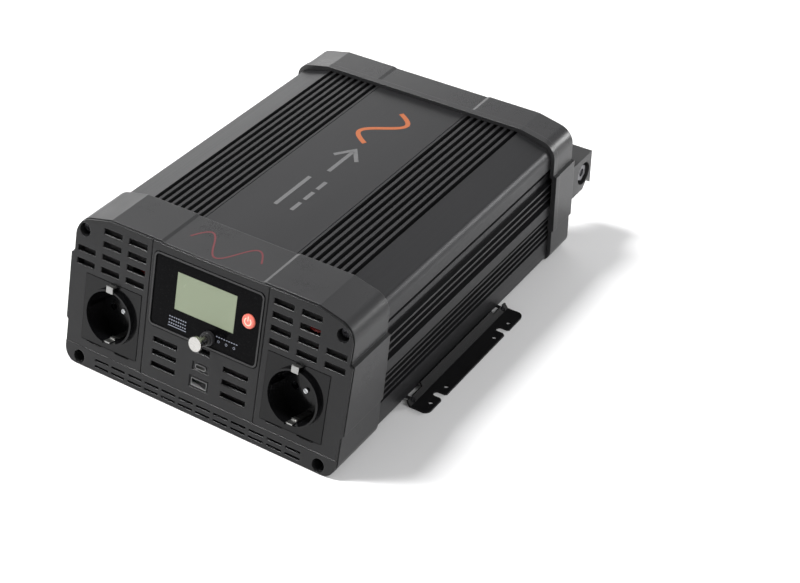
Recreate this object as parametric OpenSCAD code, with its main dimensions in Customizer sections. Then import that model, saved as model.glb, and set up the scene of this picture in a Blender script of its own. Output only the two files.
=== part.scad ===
// Power inverter: an extruded aluminium housing between two moulded end caps.
// Origin under the middle of the whole object, on the surface it stands on.
// +X is to the right seen from the front panel, +Y to the back, +Z up.

/* [Case] */
// Overall length, front edge to the back of the terminals
total_l = 350.5; // [348:0.5:354]
// Height of the end caps
cap_h = 111; // [110:0.5:113]
// Half width of the caps across their proud side band
cap_mid_x = 119.7; // [119:0.1:121]
// Half width of the caps above that band
cap_hi_x = 117; // [116.5:0.1:118]
// Half width of the caps below that band
cap_lo_x = 118.2; // [117:0.1:119]
// Lean of the front panel from vertical, in degrees
face_tilt = 16; // [14:0.5:18]
// Depth of the front cap along its bottom
front_cap_bottom = 49.5; // [47:0.5:52]
// Distance from the front edge to the front cap's top rear edge
front_cap_top = 71.5; // [69:0.5:74]
// Front edge of the rear cap
rear_cap_y = 290; // [288:0.5:292]
// Back face of the rear cap
rear_y = 319.5; // [318:0.5:321]
// Wall of the moulded caps
wall = 3; // [2.6:0.1:3.2]

/* [Housing] */
// Height of the extruded housing
housing_h = 108; // [107:0.5:108]
// Half width of the flat centre plate
plate_x = 41.4; // [40:0.2:42]
// Number of cooling grooves on each side of the centre plate
top_grooves = 8; // [6:1:8]
// Distance between cooling grooves
top_pitch = 5.8; // [5.4:0.1:5.8]
// Width of a cooling groove
groove_w = 3.4; // [2.6:0.1:3.8]
// Depth of a cooling groove
groove_d = 7; // [5:0.5:7]

/* [Front panel] */
// Width of the display bezel
bezel_w = 92.6; // [90:0.2:94]
// Height of the display bezel
bezel_h = 54.7; // [53:0.1:56]
// Width of the display glass
lcd_w = 50.2; // [44:0.2:52]
// Height of the display glass
lcd_h = 27.4; // [24:0.2:29]
// Diameter of the power button
button_d = 10.2; // [9.6:0.2:12]
// Travel of the power button
button_travel = 1.5; // [0.8:0.1:1.6]
// Diameter of the earth knob's head
knob_d = 10.6; // [10:0.2:13]
// Side of the square socket plates
socket_w = 50; // [49:0.2:50]
// Distance of each socket's centre from the middle
socket_x = 79.2; // [78.6:0.1:79.8]
// Outer radius of the socket ring
ring_r = 20.8; // [20.6:0.1:21.2]
// Inner radius of the socket cup
cup_r = 19.4; // [19:0.1:19.6]
// Depth of the socket cup
cup_depth = 17.8; // [16:0.2:18]

/* [Mounting brackets] */
// Half of the width over both brackets
foot_x = 135; // [133:0.5:138]
// Front end of the brackets
foot_y0 = 88; // [80:1:95]
// Length of the brackets
foot_l = 134; // [130:1:140]
// Distance between the two open slots of a bracket
slot_gap = 87; // [80:1:90]
// Sheet thickness of the brackets
sheet = 1.6; // [1.2:0.1:2]

/* [Back] */
// Outer size of a cooling fan
fan_w = 60; // [60:1:60]
// Distance of each fan's axis from the middle
fan_x = 34; // [33:0.5:36]
// Height of the fan axes
fan_z = 55; // [52:0.5:58]
// Height of a DC terminal block
term_h = 29; // [28:0.5:31]
// Bolt height of the DC terminals
term_z = 58.5; // [56:0.5:60]

/* [Hidden] */

eps = 0.01;
fit_gap = 0.15;           // between parts that slide together once
turn_gap = 0.06;          // running fit of the knob on its post
panel_step = 0.8;         // the panel lies this far in front of the origin's sloping plane
strip_out = 0.4;          // the strip along its foot stands proud of it by this much
strip_v = 14.2;           // top of that strip, up the slope
shoulder = 12.4;          // slope of the cap's shoulders, in degrees
flat_x = 87.5;            // half width of the cap's flat top
corner_r = 14;            // upper corners of the caps
foot_r = 10.5;            // lower corners of the caps
ledge_z = 80;             // top of the proud side band
ledge_lo = 31;            // bottom of the proud side band
dip = 0.8;                // the caps' tops dip this much over the centre plate
dip_x = 41.5;             // half width of the dip
ramp = 2.5;               // its sloping edge
lip_l = 5.5;              // lip along the rear cap's front edge
lip_out = 0.5;            // how far that lip stands proud
hous_y0 = 38;             // front end of the housing, inside the front cap
hous_y1 = 300;            // rear end, inside the rear cap
hous_hi = 114.2;          // half widths of the housing: above,
hous_mid = 116;           // at its wide band,
hous_lo = 115;            // and below
hous_r = 8;               // its upper corner
hous_c = [106.2, 94.5];   // centre of that corner
cavity_x = 106.5;         // half width of the housing's inside
cavity_top = 97.5;
port_hi = [108.7, 98.5];   // screw ports in the housing, upper pair
port_lo = [104.6, 5.8];   // lower pair
panel_t = 2;              // thickness of the front panel
seam = 0.3;               // the panel's edge is this much smaller than the cap's
groove = 0.9;             // width of the shadow groove between the two
screw_r = 1.55;
screw_hole_r = 1.6;
mid_v = 81.3;             // height of the display's middle up the slope
bezel_r = 4;
lens_in = 1.3;            // rim of the bezel around the lens
lcd_x = -0.8;
lcd_v = 85.6;
button_x = 35.7;
button_v = 85.3;
knob_x = 5.3;
knob_v = 61.5;
post_r = 2.5;
plate_v = 46.2;           // middle of the socket plates up the slope
ring_v = 46.4;            // middle of the socket rings
ring_out = 3.8;           // how far a ring stands proud
port_x = 1.3;             // middle of the column of small ports
usb_c_v = 37.3;
usb_a_v = 25;
remote_v = 49.8;
slot_w = 16;              // vent slots beside the display
slot_h = 4.2;
slot_pitch = 9.7;
slot_top_v = 107;
slot_cols = [61.5, 83.7, 106];
strip_slots = 12;
strip_pitch = 15.2;
plate_z = 0.8;            // underside of the base plate
plate_t = 2;
board_z = 12;
board_t = 1.6;
web_x = 120.4;            // bend line of the brackets
slot_y0 = foot_y0 + (foot_l - slot_gap) / 2 - 2;
term_in = 89;             // inner side of a terminal block
term_out = 119.5;         // outer side
term_bolt_y = 337;
fan_d = 25;
fan_y0 = rear_y - wall - fan_d;
toe = (panel_step + strip_out) / cos(face_tilt);
front_y = toe - total_l / 2;
back_y = total_l - toe;
baffle_out = -5.6;        // front of the baffles behind the vent slots

function arc(c, r, a0, a1, n = 12) =
    [for (i = [0:n]) c + r * [cos(a0 + (a1 - a0) * i / n), sin(a0 + (a1 - a0) * i / n)]];
function flipped(p) = [for (i = [len(p) - 1:-1:0]) [-p[i][0], p[i][1]]];

// Right half of a cap's outline, from the foot to the flat top.
function cap_half(out) = let(
    hi = cap_hi_x + out,
    lo = cap_lo_x + min(out, 0),
    top = cap_h + out,
    cx = hi - corner_r,
    cz = top - (corner_r + (cx - flat_x) * sin(shoulder)) / cos(shoulder)
) concat(
    arc([lo - foot_r, foot_r], foot_r, -90, 0),
    [[lo, ledge_lo - 1.5], [cap_mid_x + out, ledge_lo],
     [cap_mid_x + out, ledge_z - 0.6], [hi, ledge_z + 0.4]],
    arc([cx, cz], corner_r, 0, 90 - shoulder),
    [[flat_x, top]]
);

// Right half of the smooth envelope around the housing, grown by gap.
function envelope_half(gap) = concat(
    [[hous_lo + gap - 8, -gap], [hous_lo + gap - 4, 0.9 - gap], [hous_lo + gap - 1.6, 2.6],
     [hous_lo + gap, 5.5], [hous_lo + gap, 44], [hous_mid + gap, 45],
     [hous_mid + gap, ledge_z - 3], [hous_hi + gap, ledge_z - 2]],
    arc(hous_c, hous_r + gap, 0, 60),
    [[plate_x + top_pitch * (top_grooves - 1) + groove_w, housing_h + gap]]
);

// ---------- helpers ----------
module in_place() {
    translate([0, front_y, 0]) children();
}

// A 2D outline in X and Z, extruded from y0 to y1.
module along_y(y0, y1) {
    translate([0, y1, 0]) rotate([90, 0, 0]) linear_extrude(y1 - y0) children();
}

// A 2D outline in Y and Z, extruded from x0 to x1.
module along_x(x0, x1) {
    translate([x0, 0, 0]) rotate([90, 0, 90]) linear_extrude(x1 - x0) children();
}

module both_sides() {
    children();
    mirror([1, 0, 0]) children();
}

// A place on the sloping panel: x across, v up the slope, out = distance in front of it.
module on_panel(x, v, out = 0) {
    in_place() rotate([-face_tilt, 0, 0]) translate([x, -panel_step - out, v]) children();
}

// A box on the panel, from out0 to out1 in front of it.
module panel_box(w, h, out0, out1) {
    translate([-w / 2, -out1, -h / 2]) cube([w, out1 - out0, h]);
}

// A round bar standing out of the panel.
module panel_rod(r, out0, out1, fn = 48) {
    translate([0, -out0, 0]) rotate([90, 0, 0]) cylinder(h = out1 - out0, r = r, $fn = fn);
}

module rounded_rect(w, h, r) {
    for (x = [-1, 1]) for (y = [-1, 1])
        translate([x * (w / 2 - r), y * (h / 2 - r)]) circle(r, $fn = 32);
    square([w - 2 * r, h], center = true);
    square([w, h - 2 * r], center = true);
}

module panel_plate(w, h, r, out0, out1) {
    translate([0, -out0, 0]) rotate([90, 0, 0]) linear_extrude(out1 - out0) rounded_rect(w, h, r);
}

module rod_x(r, x0, x1, fn = 40) {
    translate([x0, 0, 0]) rotate([0, 90, 0]) cylinder(h = x1 - x0, r = r, $fn = fn);
}

module rod_y(r, y0, y1, fn = 40) {
    translate([0, y0, 0]) rotate([-90, 0, 0]) cylinder(h = y1 - y0, r = r, $fn = fn);
}

module outline(half) {
    polygon(concat(half, flipped(half)));
}

// ---------- housing ----------
module side_cut(z0, z1, depth_x) {
    translate([depth_x, z0]) square([20, z1 - z0]);
}

module housing_outline() {
    difference() {
        outline(envelope_half(0));
        both_sides() {
            for (i = [0:top_grooves - 1])
                translate([plate_x + i * top_pitch, housing_h - groove_d]) square([groove_w, 20]);
            translate([plate_x - 2.4, housing_h - 0.5]) square([0.6, 5]);
            side_cut(80, 85.5, 109.6);
            side_cut(75.6, 80 + eps, 112);
            for (i = [0:3]) side_cut(54 + i * 5.8, 58.2 + i * 5.8, 110.4);
            for (i = [0:2]) side_cut(58.2 + i * 5.8 - eps, 59.8 + i * 5.8 + eps, 114.4);
            for (i = [0:4]) side_cut(22 + i * 4.9, 25.4 + i * 4.9, 110.8);
        }
    }
}

module housing_cavity() {
    half = [
        [cavity_x, -5], [cavity_x, plate_z + plate_t + 0.05], [99, plate_z + plate_t + 0.05],
        [99, 5.6], [cavity_x, 5.6], [cavity_x, 90], [101, cavity_top]
    ];
    difference() {
        outline(half);
        both_sides() translate(port_lo) circle(2.9, $fn = 40);
    }
}

module base_screw_spots() {
    for (x = [-102, 102]) for (y = [70, 168, 266]) translate([x, y, 0]) children();
}

module housing() {
    color("dimgray") in_place() difference() {
        along_y(hous_y0, hous_y1) difference() {
            housing_outline();
            housing_cavity();
            both_sides() translate(port_hi) circle(screw_hole_r, $fn = 32);
            both_sides() translate(port_lo) circle(screw_hole_r, $fn = 32);
        }
        base_screw_spots() cylinder(h = 8, r = 1.3, $fn = 24);
        both_sides() for (y = [foot_y0 + 5, foot_y0 + foot_l - 5])
            bracket_screw_place(y) translate([0, 0, -13.2]) cylinder(h = 10, r = 1.25, $fn = 24);
    }
}

module base_plate() {
    color("silver") in_place() difference() {
        translate([-cavity_x + 0.1, hous_y0 + 0.2, plate_z])
            cube([2 * cavity_x - 0.2, hous_y1 - hous_y0 - 0.4, plate_t]);
        base_screw_spots() translate([0, 0, -1]) cylinder(h = 8, r = 1.6, $fn = 24);
        base_screw_spots() translate([0, 0, plate_z - eps]) cylinder(h = 1.25, r1 = 3.05, r2 = 1.6, $fn = 32);
        for (x = [-86, 0, 86]) for (y = [76, 270])
            translate([x, y, -1]) cylinder(h = 8, r = 1.6, $fn = 24);
    }
}

module base_screws() {
    color("black") in_place() base_screw_spots() translate([0, 0, plate_z]) {
        cylinder(h = 1.2, r1 = 2.9, r2 = 1.5, $fn = 32);
        cylinder(h = 5, r = 1.25, $fn = 24);
    }
}

// ---------- end caps ----------
module top_dip(y0, y1) {
    half = [[dip_x, cap_h - dip], [dip_x + ramp, cap_h], [dip_x + ramp, cap_h + 3]];
    along_y(y0, y1) outline(half);
}

// Side view of the cap's space, from out0 in front of the panel's strip back to its rear edge.
module cap_side(out0, z0, bottom, top) {
    rise = tan(face_tilt);
    back = -out0 / cos(face_tilt);
    along_x(-130, 130) polygon([
        [back + z0 * rise, z0], [bottom, z0], [top, cap_h + 1], [back + (cap_h + 1) * rise, cap_h + 1]
    ]);
}

// The slab between two planes that lean with the panel, d0 and d1 behind the origin.
module leaning_slab(d0, d1, inset) {
    rise = tan(face_tilt);
    front = d0 / cos(face_tilt);
    back = d1 / cos(face_tilt);
    intersection() {
        along_y(-3, 60) outline(cap_half(-inset));
        along_x(-130, 130) polygon([
            [front, 0], [back, 0], [back + cap_h * rise, cap_h], [front + cap_h * rise, cap_h]
        ]);
    }
}

module panel_blank() {
    back = panel_t - panel_step;
    leaning_slab(-panel_step - strip_out, back - groove + 0.1, seam);
    leaning_slab(0, back, 1.6);
}

module cap_inside() {
    rise = tan(face_tilt);
    intersection() {
        union() {
            along_y(hous_y0 - 0.2, 90) outline(envelope_half(fit_gap));
            intersection() {
                along_y(-5, hous_y0 - 0.1) outline(envelope_half(fit_gap));
                along_y(-5, hous_y0) outline(cap_half(-2));
            }
        }
        along_x(-130, 130) polygon([
            [-3, wall], [hous_y0 - 0.1, wall], [hous_y0 - 0.1, -1], [90, -1], [90, 120], [-3, 120]
        ]);
    }
}

// A slot through the panel with a small bevel all round its front edge.
module slot_cut(w, h, c, depth = 9) {
    intersection() {
        along_x(-w / 2 - c - 2, w / 2 + c + 2) polygon([
            [depth, -h / 2], [c, -h / 2], [-1, -h / 2 - c - 1],
            [-1, h / 2 + c + 1], [c, h / 2], [depth, h / 2]
        ]);
        translate([0, 0, -h / 2 - c - 2]) linear_extrude(h + 2 * c + 4) polygon([
            [-w / 2, depth], [-w / 2, c], [-w / 2 - c - 1, -1],
            [w / 2 + c + 1, -1], [w / 2, c], [w / 2, depth]
        ]);
    }
}

module vent_slots() {
    for (side = [-1, 1]) for (col = [0:2]) for (row = [(col == 2 ? 2 : 0):3])
        on_panel(side * slot_cols[col], slot_top_v - row * slot_pitch) slot_cut(slot_w, slot_h, 0.35);
    for (side = [-1, 1]) for (row = [0:2])
        on_panel(side * 30.4, 43.9 - row * 9.45) slot_cut(21, 3.8, 0.35);
}

module strip_vents() {
    for (i = [0:strip_slots - 1]) for (v = [3.7, 8.5])
        on_panel((i - (strip_slots - 1) / 2) * strip_pitch, v, strip_out) slot_cut(12.2, 1.6, 0.25);
}

module corner_bosses() {
    for (side = [-1, 1]) {
        in_place() translate([side * port_hi[0], 0, port_hi[1]]) rod_y(6.1, 24, hous_y0 - 0.1);
        in_place() translate([side * port_lo[0], 0, port_lo[1]]) rod_y(5.9, 1, hous_y0 - 0.1);
    }
}

module corner_holes() {
    for (side = [-1, 1]) {
        in_place() translate([side * port_hi[0], 0, port_hi[1]]) {
            rod_y(4.75, 0, 33);
            rod_y(1.8, 0, 60);
        }
        in_place() translate([side * port_lo[0], 0, port_lo[1]]) {
            rod_y(4.85, -5, 12);
            rod_y(1.8, -5, 60);
        }
    }
}

module panel_lines() {
    for (x = [-49, 49]) on_panel(x, 70.2) panel_box(0.9, 112, -0.7, 2);
    for (side = [-1, 1]) for (dx = [-13.3, 12.2])
        on_panel(side * socket_x + dx, plate_v - socket_w / 2 - 0.7) panel_box(13.2, 1.7, -1.2, 2);
}

// A bevel along a straight lower edge at the panel's face.
module edge_bevel(w, c) {
    side = c * sqrt(2);
    translate([-w / 2, 0, 0]) rotate([45, 0, 0]) translate([0, -side / 2, -side / 2]) cube([w, side, side]);
}

module front_panel() {
    color([0.2, 0.2, 0.21]) difference() {
        union() {
            in_place() panel_blank();
            intersection() {
                corner_bosses();
                in_place() cap_side(-0.5, 1, 80, 80);
                in_place() along_y(-2, 80) outline(cap_half(-1.1));
            }
        }
        on_panel(0, strip_v + 60) panel_box(300, 120, 0, 6);
        in_place() top_dip(20, 80);
        vent_slots();
        strip_vents();
        corner_holes();
        panel_lines();
        on_panel(0, mid_v) {
            panel_plate(bezel_w + 0.8, bezel_h + 0.8, bezel_r, -8, 2);
            translate([0, 0, -bezel_h / 2 - 0.4]) edge_bevel(bezel_w - 2 * bezel_r, 0.4);
        }
        for (side = [-1, 1])
            on_panel(side * socket_x, plate_v) {
                panel_box(socket_w + 0.5, socket_w + 0.5, -8, 2);
                translate([0, 0, -socket_w / 2 - 0.25]) edge_bevel(socket_w - 2, 0.35);
            }
        on_panel(port_x, usb_c_v) {
            panel_plate(9.4, 3.7, 1.7, -8, 2);
            slot_cut(14, 6, 0.35, 1.1);
        }
        on_panel(port_x, usb_a_v) {
            panel_box(13.8, 6.4, -8, 2);
            slot_cut(16.4, 8.6, 0.35, 1.1);
        }
        on_panel(port_x, remote_v) slot_cut(12.6, 4.4, 0.4);
    }
}

module front_cap() {
    color([0.2, 0.2, 0.21]) in_place() difference() {
        intersection() {
            along_y(-2, 80) outline(cap_half(0));
            cap_side(-(panel_t - panel_step + 0.1), 0, front_cap_bottom, front_cap_top + 0.2);
        }
        cap_inside();
        for (side = [-1, 1]) {
            intersection() {
                translate([side * port_lo[0], 0, port_lo[1]]) rod_y(6.3, -5, hous_y0 - 0.05);
                translate([-130, -10, 0.9]) cube([260, 60, 20]);
            }
            intersection() {
                translate([side * port_hi[0], 0, port_hi[1]]) rod_y(6.5, -5, hous_y0 - 0.05);
                along_y(-6, 80) outline(cap_half(-0.9));
            }
        }
        top_dip(20, 80);
    }
}

module grille_hole(x) {
    translate([x, 0, fan_z]) difference() {
        rod_y(27.5, rear_y - wall - 1, rear_y + 1, 64);
        rod_y(9, rear_y - wall - 2, rear_y + 2);
        for (r = [14, 20]) difference() {
            rod_y(r + 1.1, rear_y - wall - 2, rear_y + 2, 64);
            rod_y(r - 1.1, rear_y - wall - 3, rear_y + 3, 64);
        }
        for (a = [45, 135])
            rotate([0, a, 0]) translate([-30, rear_y - wall - 2, -1.4]) cube([60, wall + 4, 2.8]);
    }
}

module fan_hole_spots(x) {
    for (dx = [-25, 25]) for (dz = [-25, 25]) translate([x + dx, 0, fan_z + dz]) children();
}

module rear_cap() {
    color([0.2, 0.2, 0.21]) in_place() difference() {
        union() {
            difference() {
                union() {
                    along_y(rear_cap_y, rear_y) outline(cap_half(0));
                    intersection() {
                        along_y(rear_cap_y, rear_cap_y + lip_l) outline(cap_half(lip_out));
                        translate([-130, 280, ledge_lo]) cube([260, 30, 90]);
                    }
                }
                difference() {
                    along_y(rear_cap_y - 1, rear_y - wall) outline(envelope_half(fit_gap));
                    translate([-130, hous_y1 + 0.15, -1]) cube([260, 30, wall + 1]);
                }
            }
            for (side = [-1, 1]) {
                translate([side * port_hi[0], 0, port_hi[1]]) rod_y(5.2, hous_y1 + 0.1, rear_y - wall + eps);
                translate([side * port_lo[0], 0, port_lo[1]]) rod_y(5.2, hous_y1 + 0.1, rear_y - wall + eps);
            }
        }
        top_dip(rear_cap_y + lip_l, rear_y + 1);
        both_sides() translate([112, rear_cap_y - 1, -1]) cube([20, 2.4, ledge_lo + 0.5]);
        for (side = [-1, 1]) for (p = [port_hi, port_lo]) translate([side * p[0], 0, p[1]]) {
            rod_y(3.9, rear_y - 5, rear_y + 1);
            rod_y(1.8, hous_y1 - 1, rear_y + 1);
        }
        for (x = [-fan_x, fan_x]) {
            grille_hole(x);
            fan_hole_spots(x) rod_y(2, rear_y - wall - 1, rear_y + 1, 24);
        }
        both_sides() translate([95.5, rear_y - 10, term_z - 10.2]) cube([4, 20, 20.4]);
        translate([0, 0, 14]) rod_y(2.5, rear_y - wall - 1, rear_y + 1, 24);
    }
}

module screw_along_y(head_y, tip_y, head_r, head_h) {
    dir = head_y < tip_y ? 1 : -1;
    lo = min(head_y, tip_y);
    hi = max(head_y, tip_y);
    difference() {
        union() {
            rod_y(screw_r, lo, hi, 24);
            rod_y(head_r, min(head_y, head_y + dir * head_h), max(head_y, head_y + dir * head_h), 32);
        }
        for (a = [0, 90]) rotate([0, a, 0])
            translate([-head_r * 0.62, head_y - 0.9, -0.45]) cube([head_r * 1.24, 1.8, 0.9]);
    }
}

module front_screws() {
    color([0.1, 0.1, 0.1]) in_place() for (side = [-1, 1]) {
        translate([side * port_hi[0], 0, port_hi[1]]) screw_along_y(30.6, 52, 3.3, 2.3);
        translate([side * port_lo[0], 0, port_lo[1]]) screw_along_y(9.6, 50, 3.3, 2.3);
    }
}

module rear_screws() {
    color([0.1, 0.1, 0.1]) in_place() for (side = [-1, 1]) for (p = [port_hi, port_lo])
        translate([side * p[0], 0, p[1]]) screw_along_y(rear_y - 2.7, 286, 3.3, 2.2);
}

// ---------- brackets ----------
module bracket_screw_place(y) {
    translate([119.5, y, 3.7]) rotate([0, 90, 0]) children();
}

module bracket_web(z_top) {
    run = (z_top - sheet) * 0.62;
    polygon([
        [foot_x - 3, 0], [foot_x - 3, sheet], [web_x + 0.7, sheet],
        [web_x + 0.7 - run, z_top], [web_x + 0.7 - run - sheet * 0.9, z_top - 0.9],
        [web_x - 1.1, 0.4], [web_x - 0.3, 0]
    ]);
}

module bracket() {
    y1 = foot_y0 + foot_l;
    difference() {
        union() {
            along_y(foot_y0, y1) bracket_web(5.6);
            along_y(foot_y0 + 19, y1 - 17) bracket_web(8.2);
            translate([web_x + 2, foot_y0 + 5, 0]) cube([foot_x - web_x - 2, foot_l - 10, sheet]);
            for (y = [foot_y0 + 5, y1 - 5])
                translate([foot_x - 5, y, 0]) cylinder(h = sheet, r = 5, $fn = 40);
        }
        for (y = [foot_y0, y1 - 5]) translate([foot_x - 5, y == foot_y0 ? y - 1 : y, -1])
            difference() {
                cube([6, 6, 4]);
                translate([0, y == foot_y0 ? 6 : 0, -1]) cylinder(h = 6, r = 5, $fn = 40);
            }
        for (dy = [0, slot_gap]) translate([0, slot_y0 + dy, 0]) {
            translate([129, 0, -1]) cylinder(h = 4, r = 2.75, $fn = 40);
            translate([129, -2.75, -1]) cube([10, 5.5, 4]);
            translate([foot_x - 1.6, 0, -1]) linear_extrude(4)
                polygon([[0, -2.75], [2.6, -4.6], [2.6, 4.6], [0, 2.75]]);
            for (d = [-10.3, 10.3]) translate([130.4, d, -1]) cylinder(h = 4, r = 1.75, $fn = 32);
        }
        for (y = [foot_y0 + 5, y1 - 5])
            bracket_screw_place(y) translate([0, 0, -6]) cylinder(h = 14, r = 2.05, $fn = 24);
    }
}

module bracket_right() {
    color([0.08, 0.08, 0.08]) in_place() bracket();
}

module bracket_left() {
    color([0.08, 0.08, 0.08]) in_place() mirror([1, 0, 0]) bracket();
}

module bracket_screws() {
    color("gray") in_place() both_sides() for (y = [foot_y0 + 5, foot_y0 + foot_l - 5])
        bracket_screw_place(y) {
            translate([0, 0, -11.5]) cylinder(h = 11, r = 1.2, $fn = 24);
            translate([0, 0, -0.9]) cylinder(h = 1.7, r = 1.95, $fn = 32);
        }
}

// ---------- display ----------
module display_bezel() {
    color([0.12, 0.12, 0.12]) on_panel(0, mid_v) difference() {
        union() {
            panel_plate(bezel_w, bezel_h, bezel_r, -6, 0.6);
            panel_plate(bezel_w + 4.6, bezel_h + 3.8, bezel_r, -3.4, -panel_t - 0.03);
        }
        panel_plate(bezel_w - 2 * lens_in, bezel_h - 2 * lens_in, bezel_r - 1, -2.4, 2);
        difference() {
            panel_plate(bezel_w - 8, bezel_h - 8, 2, -7, 0);
            board_spots() panel_rod(3.2, -8, -2.4);
        }
        board_spots() panel_rod(1, -7, -3, 24);
        translate([knob_x, 0, knob_v - mid_v]) panel_rod(5.4, -7, 2);
    }
    color([0.12, 0.12, 0.12]) on_panel(0, mid_v) board_spots() difference() {
        panel_rod(3.2, -9.4, -6 + eps);
        panel_rod(1, -10, -3, 24);
    }
}

module board_spots() {
    for (x = [-40.6, 40.6]) for (z = [-21.6, 19.4]) translate([x, 0, z]) children();
}

module display_screws() {
    color("silver") on_panel(0, mid_v) board_spots() {
        panel_rod(0.95, -12, -4.5, 24);
        panel_rod(2, -12.4, -11.02, 32);
    }
}

module display_lens() {
    color([0.03, 0.03, 0.03]) on_panel(0, mid_v) difference() {
        panel_plate(bezel_w - 2 * lens_in - 0.2, bezel_h - 2 * lens_in - 0.2, bezel_r - 1.1, -2.4, -0.3);
        translate([lcd_x, 0, lcd_v - mid_v]) panel_box(lcd_w, lcd_h, -3, 1);
        translate([button_x, 0, button_v - mid_v]) panel_rod(button_d / 2 + 0.3, -3, 1);
        translate([knob_x, 0, knob_v - mid_v]) panel_rod(5.3, -3, 1);
    }
}

module lcd_glass() {
    color([0.62, 0.67, 0.56]) on_panel(lcd_x, lcd_v) {
        panel_box(lcd_w - 0.1, lcd_h - 0.1, -2.5, -0.4);
        panel_box(lcd_w + 4, lcd_h + 5, -4, -2.5);
    }
}

module lcd_holder() {
    color([0.85, 0.85, 0.8]) on_panel(lcd_x, lcd_v) difference() {
        panel_box(lcd_w + 8, lcd_h + 9, -9.4, -2.6);
        panel_box(lcd_w + 4.2, lcd_h + 5.2, -4.05, 0);
    }
}

module display_board() {
    color([0.05, 0.3, 0.15]) on_panel(0, mid_v) difference() {
        translate([0, 0, -1.3]) panel_box(88, 47.4, -11, -9.45);
        translate([knob_x, 0, knob_v - mid_v]) panel_rod(5.4, -12, -9);
        board_spots() panel_rod(1.1, -12, -9, 24);
    }
}

module power_button() {
    color([0.85, 0.3, 0.25]) on_panel(button_x, button_v) {
        panel_rod(button_d / 2, -5, 0.5, 64);
        panel_rod(button_d / 2 - 0.6, 0.5 - eps, 0.9, 64);
        panel_rod(1.8, -5.6, -5 + eps, 24);
    }
}

module button_switch() {
    color([0.1, 0.1, 0.1]) on_panel(button_x, button_v) panel_box(6, 6, -9.4, -7.6);
}

// ---------- earth terminal ----------
module earth_collar() {
    color([0.05, 0.05, 0.05]) on_panel(knob_x, knob_v) difference() {
        union() {
            panel_rod(5.1, -8, 2.4);
            panel_rod(4.4, 2.4 - eps, 4.6);
        }
        panel_rod(post_r + 0.05, -9, 6, 40);
    }
}

module earth_post() {
    color([0.75, 0.65, 0.4]) on_panel(knob_x, knob_v) {
        panel_rod(post_r, -16, 12.2, 40);
        panel_rod(4.6, -10.9, -8.1, 6);
    }
}

module earth_knob() {
    color([0.85, 0.85, 0.85]) on_panel(knob_x, knob_v) difference() {
        union() {
            panel_rod(3.4, 5.1, 12.6, 48);
            panel_rod(knob_d / 2, 12.5, 15, 64);
            panel_rod(4.2, 11.2, 12.6, 48);
        }
        panel_rod(post_r + turn_gap, 4, 12.6, 40);
    }
}

// ---------- sockets ----------
module socket() {
    dv = plate_v - ring_v;
    difference() {
        union() {
            translate([0, 0, dv]) panel_box(socket_w, socket_w, -2.6, 0.3);
            translate([0, 0, dv]) panel_box(44, 44, -34, -2.5);
            panel_rod(ring_r, 0, ring_out, 96);
        }
        panel_rod(cup_r, ring_out - cup_depth, ring_out + 1, 96);
        for (x = [-9.5, 9.5]) translate([x, 0, 0]) {
            panel_rod(2.8, -33, 0, 32);
            panel_rod(3.8, -31, -15.5, 32);
        }
        translate([0, 0, cup_r + 1.2]) panel_box(6.2, 3.4, ring_out - 0.2, ring_out + 1);
        for (z = [-1, 1])
            translate([0, 0, z * (cup_r + 0.8)]) panel_box(5.8, 2, ring_out - cup_depth - 2, ring_out + 1);
        panel_rod(1.5, ring_out - cup_depth - 7, ring_out - cup_depth + 1, 24);
    }
    for (x = [-1, 1]) intersection() {
        translate([x * (cup_r + 0.2), 0, 0]) panel_box(3.6, 5, ring_out - cup_depth - eps, ring_out - 2.4);
        panel_rod(cup_r + 0.4, ring_out - cup_depth - 1, ring_out, 48);
    }
}

module earth_clips() {
    floor_out = ring_out - cup_depth;
    color("silver") for (side = [-1, 1]) on_panel(side * socket_x, ring_v) {
        for (z = [-1, 1]) {
            translate([0, 0, z * (cup_r - 0.2)]) panel_box(5.2, 1, floor_out + 0.1, z > 0 ? ring_out + 0.1 : 2.4);
            translate([0, 0, z * (cup_r - 1.2)]) panel_box(4.2, 1.2, -6.6, -3.4);
        }
        translate([0, 0, cup_r + 2.2]) panel_box(5.7, 4.8, ring_out - 0.1, ring_out + 0.7);
        translate([0, 0, cup_r + 4]) panel_box(5.7, 1.2, 0.4, ring_out + 0.1);
    }
}

module socket_screws() {
    floor_out = ring_out - cup_depth;
    color("silver") for (side = [-1, 1]) on_panel(side * socket_x, ring_v) difference() {
        union() {
            panel_rod(1.4, floor_out - 6.5, floor_out + 0.5, 24);
            panel_rod(1.8, floor_out + 0.05, floor_out + 1.5, 32);
        }
        rotate([0, 35, 0]) panel_box(5, 0.6, floor_out + 0.9, floor_out + 2);
    }
}

module socket_contacts() {
    color("gold") for (side = [-1, 1]) for (x = [-9.5, 9.5]) on_panel(side * socket_x + x, ring_v) difference() {
        panel_rod(3.75, -30.5, -16, 32);
        panel_rod(2.5, -29, -15, 32);
        panel_box(0.8, 10, -28, -15);
    }
}

module socket_left() {
    color([0.04, 0.04, 0.04]) on_panel(-socket_x, ring_v) socket();
}

module socket_right() {
    color([0.04, 0.04, 0.04]) on_panel(socket_x, ring_v) socket();
}

// ---------- small ports ----------
module usb_module() {
    color([0.08, 0.08, 0.08]) on_panel(port_x, 31) difference() {
        panel_box(19, 27, -17, -panel_t - 0.05);
        translate([0, 0, usb_c_v - 31]) panel_box(9.2, 3.5, -13, 0);
        translate([0, 0, usb_a_v - 31]) panel_box(13.4, 6, -15, 0);
    }
}

module usb_shells() {
    color("silver") {
        on_panel(port_x, usb_c_v) difference() {
            panel_plate(9, 3.3, 1.6, -12.9, -0.3);
            panel_plate(8.3, 2.6, 1.25, -12.4, 0);
        }
        on_panel(port_x, usb_a_v) difference() {
            panel_box(13.2, 5.8, -14.9, -0.3);
            panel_box(12.4, 5, -14.5, 0);
        }
    }
}

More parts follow.
